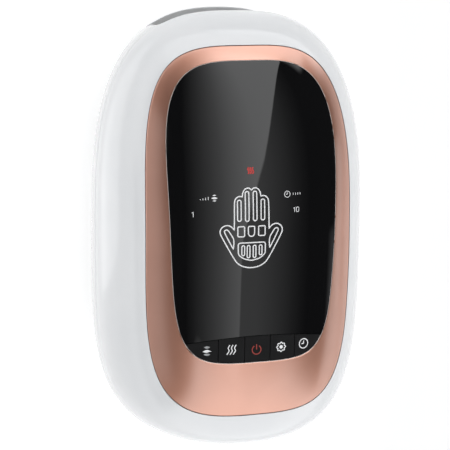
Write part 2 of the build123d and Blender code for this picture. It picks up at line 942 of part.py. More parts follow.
def make_supply_hose():
    """The hose from the pump to the manifold, round the battery's left-hand end."""
    pump_face = pump_head_x - pump_head_length / 2 - hose_end_gap
    manifold_face = -manifold_length / 2 - hose_end_gap
    start = roof_plane(pump_y).from_local_coords(Vector(pump_face, 0, pump_centre()))
    end = roof_plane(manifold_y).from_local_coords(Vector(manifold_face, 0, manifold_height / 2))
    with BuildPart() as supply_hose:
        with BuildLine():
            FilletPolyline(
                start,
                (hose_side_x, start.Y, start.Z),
                (hose_side_x, end.Y, end.Z),
                end,
                radius=hose_bend,
            )
        with BuildSketch(Plane(start, z_dir=(-1, 0, 0))):
            Circle(hose_radius)
            Circle(hose_bore, mode=Mode.SUBTRACT)
        sweep()
    write(supply_hose, "supply_hose")


def standoff_places():
    """Where the control board stands on the lower shell."""
    near = main_board_wrist_end + standoff_inset
    far = main_board_finger_end - standoff_inset
    side = main_board_half_width - standoff_inset
    return [(x, y) for x in (-side, side) for y in (near, far)]


def main_board_level():
    """The underside of the control board."""
    return foot_proud + wall + main_board_standoff


def make_main_board():
    level = main_board_level()
    middle = (main_board_wrist_end + main_board_finger_end) / 2
    with BuildPart() as main_board:
        with BuildSketch(Plane.XY.offset(level)):
            with Locations((0, middle)):
                RectangleRounded(
                    2 * main_board_half_width,
                    main_board_finger_end - main_board_wrist_end,
                    board_radius,
                )
        extrude(amount=board_thick)
        with BuildSketch(Plane.XY.offset(level + board_thick)):
            with Locations([(x * chip_row, middle + y * chip_row) for x in (-1, 0, 1) for y in (0, 1)]):
                Rectangle(chip_width, chip_width)
        extrude(amount=chip_height)
    write(main_board, "main_board")


def make_display_cable():
    """The flat cable that runs under the display board, down beside the tunnel and inwards."""
    top = parting + board_level - cable_gap - cable_thick / 2
    low = main_board_level() + board_thick + cable_gap + cable_thick / 2
    with BuildPart() as display_cable:
        with BuildSketch(Plane((0, cable_y, 0), x_dir=(1, 0, 0), z_dir=(0, -1, 0))):
            with BuildLine():
                FilletPolyline(
                    (board_half_width - cable_lap, top),
                    (cable_top_x, top),
                    (cable_shoulder_x, parting + cable_shoulder),
                    (cable_hip_x, parting + cable_hip),
                    (cable_low_x, low),
                    (main_board_half_width - cable_lap, low),
                    radius=cable_bend,
                )
            trace(line_width=cable_thick)
        extrude(amount=cable_width / 2, both=True)
    write(display_cable, "display_cable")


def make_socket():
    with BuildPart() as charging_socket:
        face_x = body_half_width + wall
        back_x = plan_half_width(socket_y) - socket_recess - socket_length
        with BuildSketch(Plane.YZ.offset(back_x)):
            with Locations((socket_y, parting - socket_drop)):
                SlotOverall(socket_width, socket_height)
        extrude(amount=face_x - back_x)
        with BuildSketch(Plane.YZ.offset(back_x)):
            with Locations((socket_y, parting - socket_drop)):
                SlotOverall(socket_width + 2 * socket_flange, socket_height + 2 * socket_flange)
        extrude(amount=socket_flange_thick)
        add(flat_belly(socket_recess), mode=Mode.INTERSECT)
        slot_x = back_x + socket_length - socket_slot_depth
        with BuildSketch(Plane.YZ.offset(slot_x)):
            with Locations((socket_y, parting - socket_drop)):
                SlotOverall(socket_slot_width, socket_slot_height)
        extrude(amount=face_x - slot_x, mode=Mode.SUBTRACT)
        with BuildSketch(Plane.YZ.offset(slot_x)):
            with Locations((socket_y, parting - socket_drop)):
                Rectangle(tongue_blade_width, tongue_blade_height)
        extrude(amount=tongue_blade_length)
    write(charging_socket, "charging_socket")


os.makedirs("parts", exist_ok=True)
make_lower_shell()
make_upper_shell()
make_trim()
make_glass()
make_keys()
make_key_mat()
make_display_board()
make_light_guide()
make_board_screws()
make_case_screws()
make_feet()
make_tunnel_pieces()
make_battery()
make_pump()
make_air_parts()
make_supply_hose()
make_main_board()
make_display_cable()
make_socket()
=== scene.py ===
import math

import bpy
import numpy as np
from mathutils import Matrix, Vector, noise as random_field
from mathutils.bvhtree import BVHTree
from mathutils.geometry import tessellate_polygon


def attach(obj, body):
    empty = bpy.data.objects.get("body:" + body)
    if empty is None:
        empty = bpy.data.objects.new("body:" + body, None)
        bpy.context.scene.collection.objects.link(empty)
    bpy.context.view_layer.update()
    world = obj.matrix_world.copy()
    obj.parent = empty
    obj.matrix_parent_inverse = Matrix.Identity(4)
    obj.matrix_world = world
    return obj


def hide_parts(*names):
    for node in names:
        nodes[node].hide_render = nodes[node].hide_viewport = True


# Looks of a hand massager: a glossy white case, a satin rose-gold trim round a black glass
# display, five matt black keys with printed signs, and a tunnel lined with grey knit fabric.

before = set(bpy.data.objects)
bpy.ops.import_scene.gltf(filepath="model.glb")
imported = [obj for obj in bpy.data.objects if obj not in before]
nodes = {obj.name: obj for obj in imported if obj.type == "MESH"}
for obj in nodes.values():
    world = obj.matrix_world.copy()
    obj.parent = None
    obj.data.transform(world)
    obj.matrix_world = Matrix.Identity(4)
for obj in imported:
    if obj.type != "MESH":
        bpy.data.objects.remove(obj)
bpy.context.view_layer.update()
MM = 0.001
KEY_NAMES = ["massage_key", "heat_key", "power_key", "mode_key", "timer_key"]

# The body's form, in millimetres, with the same values as the part's source. Each pair is for
# the wrist end and the finger end.
PARTING = 44.5
HALF_WIDTH, HALF_LENGTH = 71.8, 112.3
CROWN_HEIGHT, BELLY_DEPTH = 54.4, 44.8
PLAN_POWERS = (3.9, 2.84)
CROWN_POWERS = (8.0, 1.9)
BELLY_POWERS = (3.85, 6.0)
CROWN_SECTION_POWER = 2.3
BELLY_SECTION_POWERS = (2.9, 2.4)
MOUTH_HALF_WIDTHS = (60.0, 40.0)
MOUTH_TOPS = (18.0, 3.5)
MOUTH_BOTTOMS = (-30.0, -23.5)
MOUTH_TOP_RADII = (19.0, 6.0)
MOUTH_BOTTOM_RADII = (22.0, 11.0)

# How far the glass and the keys lie under the form
GLASS_DROP, KEY_DROP = 0.1, 0.2

# A height in metres that is above every piece
ABOVE_ALL = 0.2


def link(obj):
    bpy.context.scene.collection.objects.link(obj)
    return obj


def mesh_object(name, points, faces, material, smooth=True):
    mesh = bpy.data.meshes.new(name)
    mesh.from_pydata([tuple(p) for p in points], [], faces)
    mesh.validate()
    mesh.update()
    if smooth:
        for polygon in mesh.polygons:
            polygon.use_smooth = True
    mesh.materials.append(material)
    return link(bpy.data.objects.new(name, mesh))


class Surface:
    """The top of a CAD node, for pieces that lie on it. Its places are in metres."""

    def __init__(self, name):
        mesh = nodes[name].data
        points = [v.co.copy() for v in mesh.vertices]
        self.tree = BVHTree.FromPolygons(points, [list(p.vertices) for p in mesh.polygons])

    def hit(self, x, y):
        """Where a line straight down meets the surface, or None where it misses."""
        return self.tree.ray_cast(Vector((x, y, ABOVE_ALL)), Vector((0, 0, -1)))[0]

    def height(self, x, y):
        return self.hit(x, y).z


# Node trees


def arith(tree, operation, *values):
    """The result of a Math node. Each value is a number or another node's output."""
    node = tree.nodes.new("ShaderNodeMath")
    node.operation = operation
    for socket, value in zip(node.inputs, values):
        if isinstance(value, (int, float)):
            socket.default_value = value
        else:
            tree.links.new(value, socket)
    return node.outputs["Value"]


def remap(tree, source, start=0.0, end=1.0, low=0.0, high=1.0, kind="LINEAR"):
    """A value that goes from low to high while the source goes from start to end."""
    node = tree.nodes.new("ShaderNodeMapRange")
    node.interpolation_type = kind
    for socket, value in (("From Min", start), ("From Max", end), ("To Min", low), ("To Max", high)):
        node.inputs[socket].default_value = value
    tree.links.new(source, node.inputs["Value"])
    return node.outputs["Result"]


def axes(tree, kind="Object"):
    """The X, Y and Z of a place on the object, or of a direction in the world."""
    place = tree.nodes.new("ShaderNodeTexCoord")
    split = tree.nodes.new("ShaderNodeSeparateXYZ")
    tree.links.new(place.outputs[kind], split.inputs["Vector"])
    return [split.outputs[axis] for axis in "XYZ"]


# Materials, all made of nodes


def new_material(name, color, roughness, metallic=0.0, more=None):
    """A material, its node tree and its shader. More gives other inputs of the shader by name."""
    material = bpy.data.materials.new(name)
    material.use_nodes = True
    tree = material.node_tree
    shader = tree.nodes["Principled BSDF"]
    values = {"Base Color": (*color, 1), "Roughness": roughness, "Metallic": metallic, **(more or {})}
    for socket, value in values.items():
        shader.inputs[socket].default_value = value
    return material, tree, shader


def noise(tree, scale, detail=2.0, rough=0.5):
    node = tree.nodes.new("ShaderNodeTexNoise")
    for socket, value in (("Scale", scale), ("Detail", detail), ("Roughness", rough)):
        node.inputs[socket].default_value = value
    place = tree.nodes.new("ShaderNodeTexCoord")
    tree.links.new(place.outputs["Object"], node.inputs["Vector"])
    return node.outputs["Fac"]


def tint(tree, shader, source, low, high, start=0.35, end=0.65):
    """The shader's colour goes from low to high with the source."""
    node = tree.nodes.new("ShaderNodeValToRGB")
    for element, position, color in zip(node.color_ramp.elements, (start, end), (low, high)):
        element.position = position
        element.color = (*color, 1)
    tree.links.new(source, node.inputs["Fac"])
    tree.links.new(node.outputs["Color"], shader.inputs["Base Color"])
    return node.outputs["Color"]


def gloss(tree, shader, source, low, high):
    """The shader's roughness goes from low to high with the source."""
    tree.links.new(remap(tree, source, low=low, high=high), shader.inputs["Roughness"])


def bump(tree, shader, source, strength, distance):
    node = tree.nodes.new("ShaderNodeBump")
    node.inputs["Strength"].default_value = strength
    node.inputs["Distance"].default_value = distance
    tree.links.new(source, node.inputs["Height"])
    tree.links.new(node.outputs["Normal"], shader.inputs["Normal"])


def white_plastic():
    material, tree, shader = new_material(
        "shell_white",
        color=(0.86, 0.87, 0.885),
        roughness=0.2,
        more={"IOR": 1.5, "Coat Weight": 0.8, "Coat Roughness": 0.03},
    )
    clouds = noise(tree, scale=35.0, detail=3.0)
    tint(tree, shader, clouds, low=(0.845, 0.857, 0.873), high=(0.872, 0.88, 0.894))
    gloss(tree, shader, noise(tree, scale=110.0, detail=4.0), low=0.16, high=0.24)
    bump(tree, shader, noise(tree, scale=420.0), strength=0.02, distance=0.0001)
    return material


def rose_gold():
    material, tree, shader = new_material(
        "trim_rose_gold",
        color=(0.62, 0.3, 0.21),
        roughness=0.36,
        metallic=1.0,
        more={"Coat Weight": 1.0, "Coat IOR": 1.95, "Coat Roughness": 0.14},
    )
    clouds = noise(tree, scale=60.0, detail=3.0)
    tint(tree, shader, clouds, low=(0.61, 0.293, 0.204), high=(0.635, 0.308, 0.217))
    grain = noise(tree, scale=2600.0, detail=3.0)
    gloss(tree, shader, grain, low=0.33, high=0.41)
    bump(tree, shader, grain, strength=0.05, distance=0.00003)
    return material


def black_glass():
    material, tree, shader = new_material(
        "display_black", color=(0.004, 0.004, 0.0045), roughness=0.02, more={"IOR": 1.52}
    )
    clouds = noise(tree, scale=9.0)
    tint(tree, shader, clouds, low=(0.0035, 0.0035, 0.004), high=(0.0045, 0.0045, 0.005))
    gloss(tree, shader, noise(tree, scale=45.0, detail=4.0), low=0.01, high=0.03)
    return material


def key_black():
    material, tree, shader = new_material(
        "key_black", color=(0.008, 0.008, 0.0085), roughness=0.5, more={"Specular IOR Level": 0.12}
    )
    clouds = noise(tree, scale=80.0)
    tint(tree, shader, clouds, low=(0.007, 0.007, 0.0075), high=(0.009, 0.009, 0.0095))
    grain = noise(tree, scale=1800.0, detail=4.0)
    gloss(tree, shader, grain, low=0.42, high=0.56)
    bump(tree, shader, grain, strength=0.12, distance=0.00004)
    return material


def shaded(color, share):
    """The colour made darker or lighter by a share, up to white."""
    return tuple(min(1.0, share * c) for c in color)


def moulded(name, color, roughness=0.5, grain_scale=1500.0, depth=0.2):
    """Moulded plastic or rubber, with faint clouds and a fine grain."""
    material, tree, shader = new_material(name, color, roughness)
    clouds = noise(tree, scale=50.0, detail=3.0)
    tint(tree, shader, clouds, low=shaded(color, 0.93), high=shaded(color, 1.05))
    grain = noise(tree, grain_scale, detail=3.0)
    gloss(tree, shader, grain, low=0.88 * roughness, high=1.12 * roughness)
    bump(tree, shader, grain, depth, distance=0.0001)
    return material


def metal(name, color, roughness):
    material, tree, shader = new_material(name, color, roughness, metallic=1.0)
    grain = noise(tree, scale=900.0, detail=4.0, rough=0.6)
    gloss(tree, shader, grain, low=0.7 * roughness, high=1.3 * roughness)
    tint(tree, shader, grain, low=shaded(color, 0.9), high=color)
    return material


KNIT_ROW, KNIT_RIB = 0.0011, 0.0014
KNIT_FUZZ = 0.35


def knit(name, low, high):
    """Knitted lining: fine ribs along the tunnel, with small loops across them."""
    sheen = {"Sheen Weight": 0.3, "Sheen Roughness": 0.5}
    material, tree, shader = new_material(name, high, roughness=0.95, more=sheen)
    x, y, z = axes(tree)
    rows, ribs = (
        arith(tree, "SINE", arith(tree, "MULTIPLY", source, 2 * math.pi / pitch))
        for source, pitch in ((y, KNIT_ROW), (arith(tree, "ADD", x, z), KNIT_RIB))
    )
    loops = arith(tree, "MULTIPLY_ADD", arith(tree, "MULTIPLY", rows, 0.5), ribs, 0.5)
    fuzz = arith(tree, "MULTIPLY_ADD", noise(tree, scale=700.0, detail=3.0), KNIT_FUZZ, loops)
    # The colour follows the same height as the bump and is darker where it sinks: painted shade in the
    # grooves between ribs and loops.
    tint(tree, shader, fuzz, low, high, start=0.1, end=0.95)
    bump(tree, shader, fuzz, strength=0.6, distance=0.00025)
    return material


def printed(name, color, strength):
    """A printed sign with a faint lamp behind it."""
    lamp = {"Emission Strength": strength}
    material, tree, shader = new_material(name, color, roughness=0.45, more=lamp)
    color = tint(tree, shader, noise(tree, scale=700.0), low=shaded(color, 0.9), high=color)
    tree.links.new(color, shader.inputs["Emission Color"])
    return material


WHITE = white_plastic()
GOLD = rose_gold()
# A pale matt bead whose colour is a painted highlight along the trim's inner edge
EDGE_HIGHLIGHT = moulded("trim_edge_painted_highlight", (0.88, 0.78, 0.73), roughness=0.3)
GLASS = black_glass()
KEY = key_black()
# Each knit's low colour is the painted shade in its grooves.
KNIT = knit("liner_knit", low=(0.10, 0.10, 0.11), high=(0.24, 0.24, 0.26))
HEM = knit("hem_knit", low=(0.06, 0.06, 0.065), high=(0.15, 0.15, 0.16))
THREAD = moulded("thread_grey", (0.42, 0.42, 0.44), roughness=0.8, grain_scale=3000.0, depth=0.4)
RIM = moulded("rim_white", (0.88, 0.885, 0.89), roughness=0.4)
RUBBER = moulded("rubber_dark", (0.03, 0.03, 0.032), roughness=0.8, grain_scale=900.0, depth=0.4)
SILICONE = moulded("silicone_grey", (0.3, 0.3, 0.31), roughness=0.6)
BOARD = moulded("board_green", (0.015, 0.09, 0.045), roughness=0.35)
GUIDE = moulded("guide_white", (0.8, 0.8, 0.78))
TRAY = moulded("tray_black", (0.02, 0.02, 0.022))
FILM = moulded("film_amber", (0.4, 0.16, 0.02), roughness=0.3)
BAG = moulded("bag_film", (0.05, 0.052, 0.06), roughness=0.45)
CELL = moulded("cell_blue", (0.02, 0.09, 0.3), roughness=0.3)
STEEL = metal("steel", (0.56, 0.56, 0.57), roughness=0.3)
SIGN_WHITE = printed("sign_white", (0.86, 0.865, 0.875), strength=0.14)
SIGN_GREY = printed("sign_grey", (0.36, 0.37, 0.38), strength=0.05)
SIGN_RED = printed("sign_red", (0.52, 0.035, 0.03), strength=0.1)
KEY_RED = printed("key_red", (0.34, 0.03, 0.018), strength=0.08)

NODE_MATERIALS = {
    WHITE: ["upper_shell", "lower_shell"],
    GOLD: ["trim_bezel"],
    GLASS: ["display_glass"],
    KEY: KEY_NAMES,
    SILICONE: ["key_mat", "pump_cradle", "supply_hose"],
    BOARD: ["display_board", "main_board"],
    GUIDE: ["light_guide", "air_manifold", "display_cable"],
    STEEL: ["board_screws", "case_screws", "pump_motor", "release_valves", "charging_socket"],
    RUBBER: ["rubber_feet"],
    RIM: ["wrist_rim", "finger_rim"],
    KNIT: ["upper_liner", "lower_liner"],
    TRAY: ["tunnel_roof", "tunnel_floor", "battery_holder", "pump_head"],
    FILM: ["heating_pad"],
    BAG: [f"{level}_{place}_airbag" for level in ("upper", "lower") for place in ("palm", "finger")],
    CELL: ["battery_cells"],
}
for material, names in NODE_MATERIALS.items():
    for name in names:
        nodes[name].data.materials.clear()
        nodes[name].data.materials.append(material)

# Smooth skins: copies of the outer nodes that are shaded as the body's true curved form. A
# skin takes the form's normals up to the first distance from it, in millimetres, and the first
# angle to it, in degrees, and its own normals past the second of each.

SKIN_DISTANCES = (2.0, 4.0)
SKIN_ANGLES = (12, 24)
SLOPE_STEP = 0.01
LAST_SHARE = 0.99999


def between(y, pair):
    """A size at this place along the body, between its values at the two ends."""
    return pair[0] + (pair[1] - pair[0]) * (y + HALF_LENGTH) / (2 * HALF_LENGTH)


def body_value(points, inset=0.0):
    """Below 0 inside the body's form, 0 on it and above 0 outside, for points in millimetres."""
    x, y, z = points[:, 0], points[:, 1], points[:, 2] - PARTING
    share = np.clip(np.abs(y) / (HALF_LENGTH - inset), 0, LAST_SHARE)
    finger, above = y > 0, z >= 0
    plan = np.where(finger, PLAN_POWERS[1], PLAN_POWERS[0])
    width = (HALF_WIDTH - inset) * (1 - share**plan) ** (1 / plan)
    crown_end = np.where(finger, CROWN_POWERS[1], CROWN_POWERS[0])
    belly_end = np.where(finger, BELLY_POWERS[1], BELLY_POWERS[0])
    end = np.where(above, crown_end, belly_end)
    rise = np.where(above, CROWN_HEIGHT, BELLY_DEPTH) - inset
    rise = rise * (1 - share**end) ** (1 / end)
    section = np.where(above, CROWN_SECTION_POWER, between(y, BELLY_SECTION_POWERS))
    return (np.abs(x) / width) ** section + (np.abs(z) / rise) ** section - 1


def body_normals(points, inset):
    """The form's outward normals, and how far each point is from it."""
    rates = []
    for axis in range(3):
        move = np.zeros(3)
        move[axis] = SLOPE_STEP
        change = body_value(points + move, inset) - body_value(points - move, inset)
        rates.append(change / (2 * SLOPE_STEP))
    slope = np.stack(rates, axis=1)
    size = np.linalg.norm(slope, axis=1)
    return slope / size[:, None], np.abs(body_value(points, inset)) / size


def fade(value, low, high):
    """1 below low, 0 above high, and smooth between them."""
    share = np.clip((value - low) / (high - low), 0, 1)
    return 1 - share * share * (3 - 2 * share)


def read(items, field, width=1, kind=float):
    """One field of all these items of a mesh, as an array."""
    values = np.empty(width * len(items), kind)
    items.foreach_get(field, values)
    return values if width == 1 else values.reshape(-1, width)


def skin(name, body, inset):
    """A copy of a node that takes its normals from the form wherever it lies on it."""
    mesh = nodes[name].data.copy()
    mesh.name = name + "_skin"
    corners = read(mesh.loops, "vertex_index", kind=int)
    counts = read(mesh.polygons, "loop_total", kind=int)
    flat = np.repeat(read(mesh.polygons, "normal", 3), counts, axis=0)
    old = read(mesh.corner_normals, "vector", 3)
    form, distance = body_normals(read(mesh.vertices, "co", 3) / MM, inset)
    form, distance = form[corners], distance[corners]
    turned = np.degrees(np.arccos(np.clip((form * flat).sum(axis=1), -1, 1)))
    share = fade(distance, *SKIN_DISTANCES) * fade(turned, *SKIN_ANGLES)
    mixed = form * share[:, None] + old * (1 - share[:, None])
    mixed /= np.linalg.norm(mixed, axis=1)[:, None]
    for polygon in mesh.polygons:
        polygon.use_smooth = True
    mesh.normals_split_custom_set([tuple(n) for n in mixed])
    obj = link(bpy.data.objects.new(name + "_skin", mesh))
    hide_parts(name)
    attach(obj, body)


skin("upper_shell", "housing", 0.0)
skin("lower_shell", "housing", 0.0)
skin("trim_bezel", "housing", 0.0)
skin("display_glass", "housing", GLASS_DROP)
for name in KEY_NAMES:
    skin(name, name + "_body", KEY_DROP)

# Fabric lining of the tunnel: two quilted halves of a knitted sleeve, with a hem at each mouth.
# Sizes are in millimetres. The places of the sleeve's faces are measured outwards from the edge
# of the mouths, and it ends where it meets the body's form drawn in by the hem's inset.

LINER_OUTSIDE = -2.05
LINER_THICK = 0.95
LINER_INSIDE = LINER_OUTSIDE - LINER_THICK
LINER_MIDDLE = LINER_OUTSIDE - LINER_THICK / 2
HEM_INSET = 4.2
LEAST_RADIUS = 1.5

# How many steps the sleeve's section has on its side, round its corner and on its flat part
SIDE_STEPS, CORNER_STEPS, FLAT_STEPS = 8, 14, 40

# The sleeve's rows from mouth to mouth, and how far in the first one lies, counted in rows.
# Outside it are the rows of a rounded edge: how far in each lies, counted in rows, and the
# share of the thickness by which each face is drawn in there.
ROWS = 150
FIRST_ROW = 0.6
LIP = [(0.0, 0.5), (0.1, 0.22), (0.28, 0.0)]

# The airbags push the fabric in, over two spans along the tunnel, with sewn channels across
PUFF = 1.1
PUFF_SPANS = ((-72.0, 1.0), (5.0, 78.0))
PUFF_MARGIN = 8
PUFF_SOFT_ACROSS, PUFF_SOFT_ALONG = 14.0, 16.0
PUFF_BACK_SHARE = 0.7
CHANNEL_START, CHANNEL_PITCH = 3.0, 18.25
CHANNEL_FLOOR, CHANNEL_RISE = 0.55, 0.45
CREASES_ACROSS, CREASES_ALONG, CREASE_SEED = 0.06, 0.11, 1.7
CREASE_SHARE = 0.25

# The cord round each hem, the piping along the sides and the stitches. The cord and the rows
# of stitches lie this far back from the sleeve's end. A length under the last value is none.
HEM_BACK, HEM_RADIUS = 0.5, 0.75
PIPING_RADIUS, PIPING_MARGIN, PIPING_STEPS = 0.7, 1, 60
STITCH_ROWS = (4.5, 6.0)
STITCH_LENGTH, STITCH_GAP, STITCH_LIFT = 1.9, 0.8, 0.05
THREAD_RADIUS, THREAD_SIDES = 0.16, 6
TINY = 1e-6

# Where the search for the sleeve's end starts, how near the body's end it stops, and its rounds
SEARCH_START, SEARCH_MARGIN, SEARCH_ROUNDS = 40.0, 0.01, 40


def tunnel_section(y, offset, level):
    """Half of the tunnel's section at a place, from its right side to its left one."""
    upper = level == "upper"
    sign = 1 if upper else -1
    half = between(y, MOUTH_HALF_WIDTHS) + offset
    edge = between(y, MOUTH_TOPS if upper else MOUTH_BOTTOMS) + sign * offset
    radius = between(y, MOUTH_TOP_RADII if upper else MOUTH_BOTTOM_RADII) + offset
    radius = max(radius, LEAST_RADIUS)
    middle = (between(y, MOUTH_TOPS) + between(y, MOUTH_BOTTOMS)) / 2
    rise = edge - sign * radius - middle
    side = [(half, middle + rise * i / SIDE_STEPS) for i in range(SIDE_STEPS)]
    for i in range(CORNER_STEPS):
        turn = math.radians(90 * i / CORNER_STEPS)
        x = half - radius * (1 - math.cos(turn))
        side.append((x, edge - sign * radius * (1 - math.sin(turn))))
    flat = [((half - radius) * (1 - 2 * i / FLAT_STEPS), edge) for i in range(FLAT_STEPS + 1)]
    return side + flat + [(-x, z) for x, z in reversed(side)]


def mouth_end(index, level, end):
    """Where a line of the sleeve meets the form that is drawn in behind the body's surface."""
    inner, outer = SEARCH_START * end, (HALF_LENGTH - HEM_INSET - SEARCH_MARGIN) * end
    for _ in range(SEARCH_ROUNDS):
        y = (inner + outer) / 2
        x, z = tunnel_section(y, LINER_OUTSIDE, level)[index]
        if body_value(np.array([[x, y, z + PARTING]]), HEM_INSET)[0] < 0:
            inner = y
        else:
            outer = y
    return inner


def smooth_bell(value, low, high, soft):
    """1 between low and high, 0 well outside them."""
    rise = min(1.0, max(0.0, (value - low) / soft))
    fall = min(1.0, max(0.0, (high - value) / soft))
    share = min(rise, fall)
    return share * share * (3 - 2 * share)


def puff_at(x, y, half):
    """How far the airbags and the wadding push the fabric inwards here."""
    across = smooth_bell(x, PUFF_MARGIN - half, half - PUFF_MARGIN, PUFF_SOFT_ACROSS)
    along = max(smooth_bell(y, *span, PUFF_SOFT_ALONG) for span in PUFF_SPANS)
    wave = abs(math.sin(math.pi * (y - CHANNEL_START) / CHANNEL_PITCH)) ** 0.5
    channel = CHANNEL_FLOOR + CHANNEL_RISE * wave
    crease = random_field.noise(Vector((x * CREASES_ACROSS, y * CREASES_ALONG, CREASE_SEED)))
    return PUFF * across * along * channel * (1 + CREASE_SHARE * crease)


def liner(level):
    """One half of the sleeve, as a closed sheet with rounded edges at the mouths."""
    width = len(tunnel_section(0, 0, level))
    ends = [[mouth_end(i, level, side) for i in range(width)] for side in (-1, 1)]
    inside = [(FIRST_ROW + (ROWS - 2 * FIRST_ROW) * i / (ROWS - 1), 0.0) for i in range(ROWS)]
    rows = LIP + inside + [(ROWS - place, pinch) for place, pinch in reversed(LIP)]
    outer, inner, points = [], [], []
    for place, pinch in rows:
        outer.append([])
        inner.append([])
        for i in range(width):
            y = ends[0][i] + (ends[1][i] - ends[0][i]) * place / ROWS
            x = tunnel_section(y, LINER_OUTSIDE, level)[i][0]
            push = puff_at(x, y, between(y, MOUTH_HALF_WIDTHS))
            drawn = pinch * LINER_THICK
            back = tunnel_section(y, LINER_OUTSIDE - PUFF_BACK_SHARE * push - drawn, level)[i]
            front = tunnel_section(y, LINER_INSIDE - push + drawn, level)[i]
            for line, (x, z) in ((outer, back), (inner, front)):
                line[-1].append(len(points))
                points.append((x * MM, y * MM, (z + PARTING) * MM))
    faces = []

    def quad(corners, turn=False):
        faces.append(corners if turn != (level == "upper") else corners[::-1])

    for row in range(len(rows) - 1):
        for i in range(width - 1):
            quad([outer[row][i], outer[row][i + 1], outer[row + 1][i + 1], outer[row + 1][i]])
            quad([inner[row][i], inner[row + 1][i], inner[row + 1][i + 1], inner[row][i + 1]])
        for i, turn in ((0, False), (width - 1, True)):
            quad([outer[row][i], outer[row + 1][i], inner[row + 1][i], inner[row][i]], turn)
    for row, turn in ((0, True), (len(rows) - 1, False)):
        for i in range(width - 1):
            quad([outer[row][i], outer[row][i + 1], inner[row][i + 1], inner[row][i]], turn)
    obj = mesh_object(level + "_lining", points, faces, KNIT)
    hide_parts(level + "_liner")
    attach(obj, "housing")
    return obj, ends


def tube(name, lines, radius, material, sides=8):
    """Round cords along lines of points in millimetres, joined in one mesh."""
    # No line runs exactly along this direction
    aside = Vector((0.3, 0.1, 0.9))
    points, faces = [], []
    for line in lines:
        rings = []
        for i, place in enumerate(line):
            here = Vector(place)
            along = Vector(line[min(i + 1, len(line) - 1)]) - Vector(line[max(i - 1, 0)])
            along.normalize()
            across = along.cross(aside).normalized()
            other = along.cross(across)
            ring = []
            for k in range(sides):
                turn = 2 * math.pi * k / sides
                out = across * math.cos(turn) + other * math.sin(turn)
                ring.append(len(points))
                points.append((here + out * radius) * MM)
            rings.append(ring)
        for near, far in zip(rings, rings[1:]):
            for k in range(sides):
                faces.append([near[k], near[(k + 1) % sides], far[(k + 1) % sides], far[k]])
        faces.append(rings[0][::-1])
        faces.append(rings[-1])
    obj = mesh_object(name, points, faces, material)
    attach(obj, "housing")
    return obj


def hem_line(level, ends, side, back, offset):
    """A line along the edge of one half of the sleeve, back from its end."""
    out = []
    for i, y in enumerate(ends[0 if side < 0 else 1]):
        place = y - side * back
        x, z = tunnel_section(place, offset, level)[i]
        out.append((x, place, z + PARTING))
    return out


def stitches(line):
    """Short pieces of thread along a line."""
    out, piece, left, on = [], [], STITCH_LENGTH, True
    for start, end in zip(line, line[1:]):
        near, far = Vector(start), Vector(end)
        span = (far - near).length
        done = 0.0
        while span - done > TINY:
            step = min(left, span - done)
            if on and not piece:
                piece.append(near.lerp(far, done / span))
            done += step
            left -= step
            if on:
                piece.append(near.lerp(far, done / span))
            if left < TINY:
                if on:
                    out.append([tuple(p) for p in piece])
                piece, on = [], not on
                left = STITCH_LENGTH if on else STITCH_GAP
    return out


def side_seam(side):
    """The line where the two halves of the sleeve meet, at one side of the tunnel."""
    start, end = mouth_end(0, "upper", -1), mouth_end(0, "upper", 1)
    out = []
    for i in range(PIPING_STEPS + 1):
        y = start + PIPING_MARGIN + (end - start - 2 * PIPING_MARGIN) * i / PIPING_STEPS
        x, z = tunnel_section(y, LINER_MIDDLE, "upper")[0]
        out.append((side * x, y, z + PARTING))
    return out


linings, threads, borders = [], [], []
for level in ("upper", "lower"):
    lining, ends = liner(level)
    linings.append(lining)
    for side in (-1, 1):
        borders.append(hem_line(level, ends, side, HEM_BACK, LINER_MIDDLE))
        for back in STITCH_ROWS:
            threads += stitches(hem_line(level, ends, side, back, LINER_INSIDE - STITCH_LIFT))
hem_cord = tube("hem_cord", borders, HEM_RADIUS, HEM)
hem_stitches = tube("hem_stitches", threads, THREAD_RADIUS, THREAD, THREAD_SIDES)
side_piping = tube("side_piping", [side_seam(-1), side_seam(1)], PIPING_RADIUS, HEM)

# A pale matt bead along the trim's inner edge, whose colour is a painted highlight in place of a
# polished bevel's reflection. Sizes are in millimetres. The trim's top lies no deeper than this under
# the body's form, and the edge is found outwards from a point inside the ring.

EDGE_DEPTH = 0.6
BEVEL_RADIUS = 0.24
BEVEL_SINK = 0.14
RING_MIDDLE = (0.0, 5.0)
RING_NEAR, RING_FAR, RING_STEP = 15.0, 110.0, 1.0
EDGE_POINTS, EDGE_ROUNDS = 300, 9


def ring_top(surface, radius, turn):
    """The place on the ring's top at a radius and turn round its middle, or None beside it."""
    x, y = RING_MIDDLE[0] + radius * math.cos(turn), RING_MIDDLE[1] + radius * math.sin(turn)
    hit = surface.hit(x * MM, y * MM)
    if hit is None:
        return None
    place = (x, y, hit.z / MM)
    depth = body_normals(np.array([place]), 0.0)[1][0]
    return None if depth > EDGE_DEPTH else place


def inner_edge(surface):
    """The inner edge of the ring, as a closed line a little below its top."""
    line = []
    for i in range(EDGE_POINTS):
        turn = 2 * math.pi * i / EDGE_POINTS
        far = RING_NEAR
        while ring_top(surface, far, turn) is None and far < RING_FAR:
            far += RING_STEP
        near = far - RING_STEP
        for _ in range(EDGE_ROUNDS):
            half = (near + far) / 2
            if ring_top(surface, half, turn) is None:
                near = half
            else:
                far = half
        x, y, z = ring_top(surface, far, turn)
        line.append((x, y, z - BEVEL_SINK))
    return line + line[:1]


bevel_line = inner_edge(Surface("trim_bezel"))
tube("trim_bevel_painted_highlight", [bevel_line], BEVEL_RADIUS, EDGE_HIGHLIGHT)

# Signs under the glass and on the keys: thin prints, drawn in millimetres as seen from above

SIGN_LIFT = 0.03
SIGN_THICK = 0.12
SIGN_STEP = 0.5
HAND_LINE = 0.58
HEAT_LINE = 0.85
SMALL_LINE = 0.3
KEY_LINE = 0.5
EASE_SHARE = 0.25
LENS_STEPS = 12


